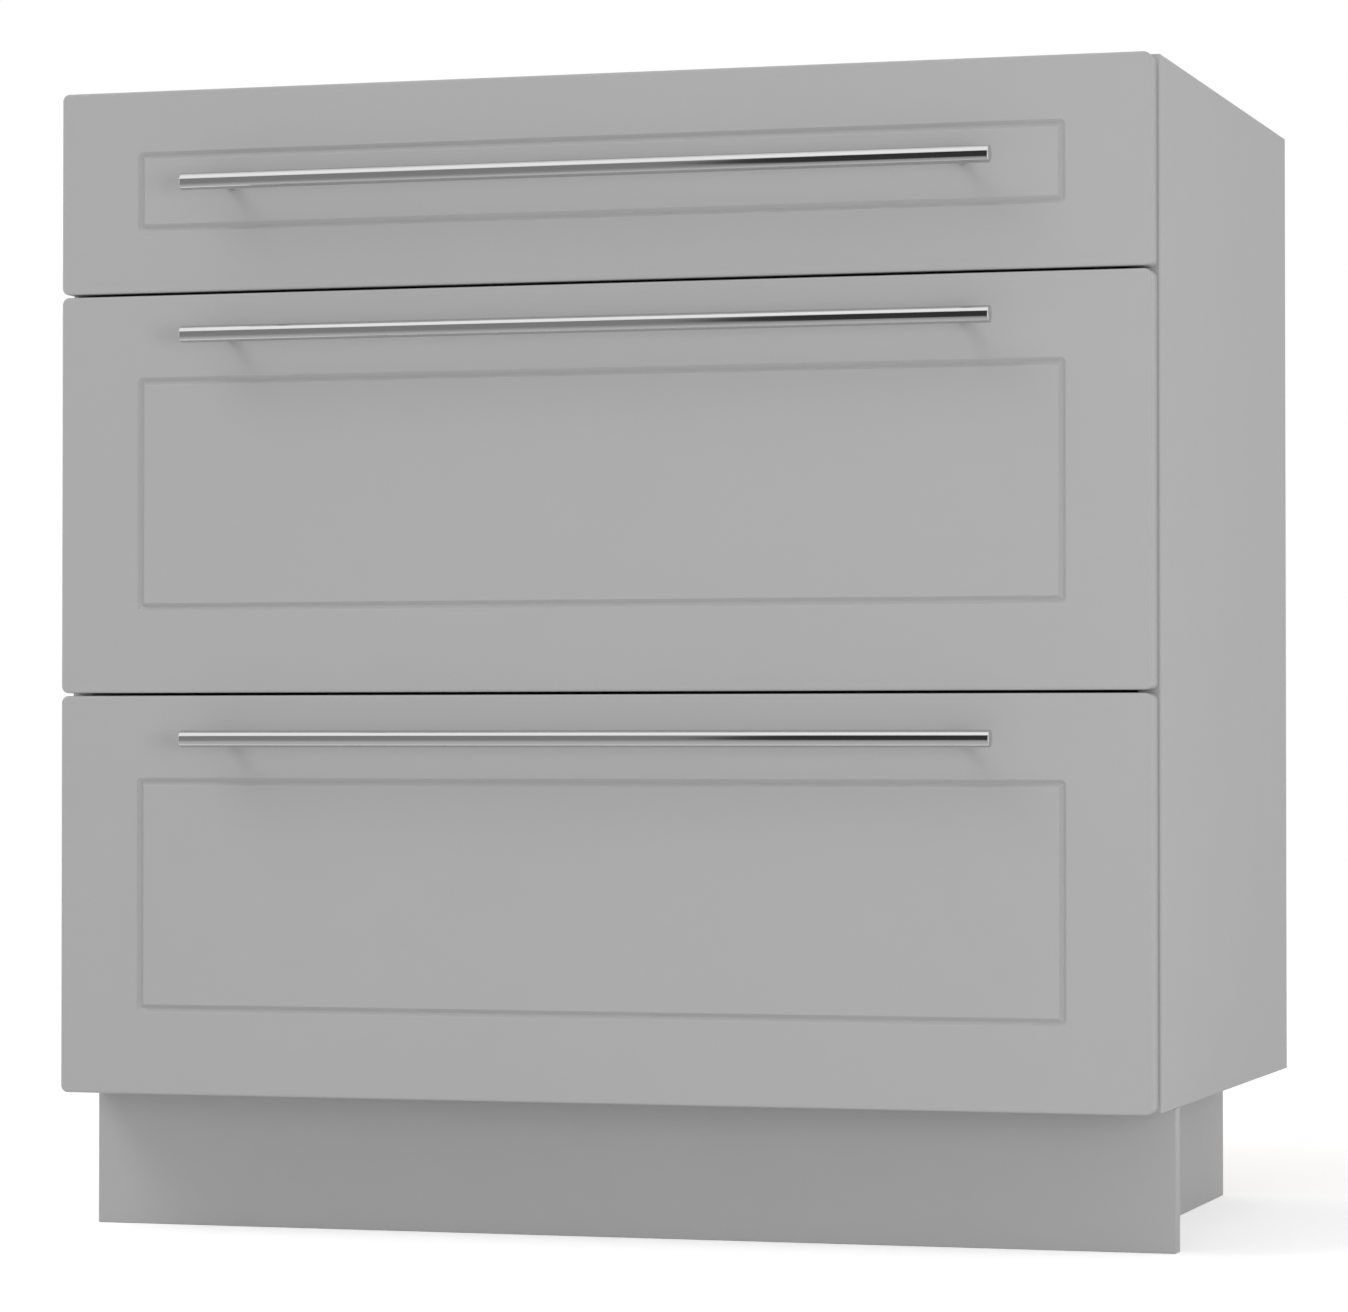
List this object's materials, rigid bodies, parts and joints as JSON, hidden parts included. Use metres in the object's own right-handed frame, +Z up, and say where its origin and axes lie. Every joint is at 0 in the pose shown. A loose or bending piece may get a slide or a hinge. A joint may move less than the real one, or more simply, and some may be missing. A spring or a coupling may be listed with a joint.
{
  "type": "base cabinet with drawers",
  "caption": "Kitchen base cabinet with full-extension steel-sided drawers behind routed fronts with bar handles, on adjustable legs behind a recessed plinth.",
  "frame": {"origin": "on the floor, at the middle of the overall width and of the overall depth, handles included", "axes": "+X to the right seen from the front, +Y to the wall, +Z up; the drawers open towards -Y"},
  "size_m": [0.8, 0.5594, 0.82],
  "materials": {
    "painted_front": "satin grey paint over moulded fibreboard",
    "melamine": "grey melamine-faced chipboard with matching edge banding",
    "hardboard": "light grey faced hardboard",
    "drawer_board": "light grey melamine-faced chipboard",
    "handle_steel": "polished stainless steel",
    "galvanised_steel": "zinc-plated sheet steel",
    "coated_steel": "grey powder-coated sheet steel",
    "leg_plastic": "black moulded plastic"
  },
  "bodies": {
    "carcass": {"carcass_side_left": "melamine", "carcass_side_right": "melamine", "carcass_bottom": "melamine", "carcass_rail_front": "melamine", "carcass_rail_rear": "melamine", "carcass_back": "hardboard", "plinth_front": "melamine", "plinth_left": "melamine", "plinth_right": "melamine", "plinth_clip_left": "leg_plastic", "plinth_clip_right": "leg_plastic", "leg_socket_front_left": "leg_plastic", "leg_socket_front_right": "leg_plastic", "leg_socket_rear_left": "leg_plastic", "leg_socket_rear_right": "leg_plastic", "bottom_cabinet_rail_left": "galvanised_steel", "bottom_cabinet_rail_right": "galvanised_steel", "middle_cabinet_rail_left": "galvanised_steel", "middle_cabinet_rail_right": "galvanised_steel", "top_cabinet_rail_left": "galvanised_steel", "top_cabinet_rail_right": "galvanised_steel"},
    "bottom_drawer": {"bottom_drawer_front": "painted_front", "bottom_handle_bar": "handle_steel", "bottom_handle_post_left": "handle_steel", "bottom_handle_post_right": "handle_steel", "bottom_drawer_side_left": "coated_steel", "bottom_drawer_side_right": "coated_steel", "bottom_drawer_base": "drawer_board", "bottom_drawer_back": "drawer_board", "bottom_drawer_gallery_rail_left": "coated_steel", "bottom_drawer_gallery_rail_right": "coated_steel"},
    "bottom_floating_rails": {"bottom_floating_rail_left": "galvanised_steel", "bottom_floating_rail_right": "galvanised_steel"},
    "middle_drawer": {"middle_drawer_front": "painted_front", "middle_handle_bar": "handle_steel", "middle_handle_post_left": "handle_steel", "middle_handle_post_right": "handle_steel", "middle_drawer_side_left": "coated_steel", "middle_drawer_side_right": "coated_steel", "middle_drawer_base": "drawer_board", "middle_drawer_back": "drawer_board", "middle_drawer_gallery_rail_left": "coated_steel", "middle_drawer_gallery_rail_right": "coated_steel"},
    "middle_floating_rails": {"middle_floating_rail_left": "galvanised_steel", "middle_floating_rail_right": "galvanised_steel"},
    "top_drawer": {"top_drawer_front": "painted_front", "top_handle_bar": "handle_steel", "top_handle_post_left": "handle_steel", "top_handle_post_right": "handle_steel", "top_drawer_side_left": "coated_steel", "top_drawer_side_right": "coated_steel", "top_drawer_base": "drawer_board", "top_drawer_back": "drawer_board"},
    "top_floating_rails": {"top_floating_rail_left": "galvanised_steel", "top_floating_rail_right": "galvanised_steel"},
    "leg_foot_front_left": {"leg_foot_front_left": "leg_plastic"},
    "leg_foot_front_right": {"leg_foot_front_right": "leg_plastic"},
    "leg_foot_rear_left": {"leg_foot_rear_left": "leg_plastic"},
    "leg_foot_rear_right": {"leg_foot_rear_right": "leg_plastic"}
  },
  "joints": [
    {"name": "bottom_drawer_slide", "type": "slide", "parent": "carcass", "child": "bottom_drawer", "axis": [0, -1, 0], "range_m": [0, 0.44]},
    {"name": "bottom_floating_rail_slide", "type": "slide", "parent": "carcass", "child": "bottom_floating_rails", "axis": [0, -1, 0], "range_m": [0, 0.22]},
    {"name": "middle_drawer_slide", "type": "slide", "parent": "carcass", "child": "middle_drawer", "axis": [0, -1, 0], "range_m": [0, 0.44]},
    {"name": "middle_floating_rail_slide", "type": "slide", "parent": "carcass", "child": "middle_floating_rails", "axis": [0, -1, 0], "range_m": [0, 0.22]},
    {"name": "top_drawer_slide", "type": "slide", "parent": "carcass", "child": "top_drawer", "axis": [0, -1, 0], "range_m": [0, 0.44]},
    {"name": "top_floating_rail_slide", "type": "slide", "parent": "carcass", "child": "top_floating_rails", "axis": [0, -1, 0], "range_m": [0, 0.22]},
    {"name": "leg_foot_front_left_adjustment", "type": "slide", "parent": "carcass", "child": "leg_foot_front_left", "axis": [0, 0, -1], "range_m": [0, 0.02]},
    {"name": "leg_foot_front_right_adjustment", "type": "slide", "parent": "carcass", "child": "leg_foot_front_right", "axis": [0, 0, -1], "range_m": [0, 0.02]},
    {"name": "leg_foot_rear_left_adjustment", "type": "slide", "parent": "carcass", "child": "leg_foot_rear_left", "axis": [0, 0, -1], "range_m": [0, 0.02]},
    {"name": "leg_foot_rear_right_adjustment", "type": "slide", "parent": "carcass", "child": "leg_foot_rear_right", "axis": [0, 0, -1], "range_m": [0, 0.02]}
  ],
  "couplings": [
    {"joint": "bottom_floating_rail_slide", "follows": "bottom_drawer_slide", "ratio": 0.5},
    {"joint": "middle_floating_rail_slide", "follows": "middle_drawer_slide", "ratio": 0.5},
    {"joint": "top_floating_rail_slide", "follows": "top_drawer_slide", "ratio": 0.5}
  ]
}
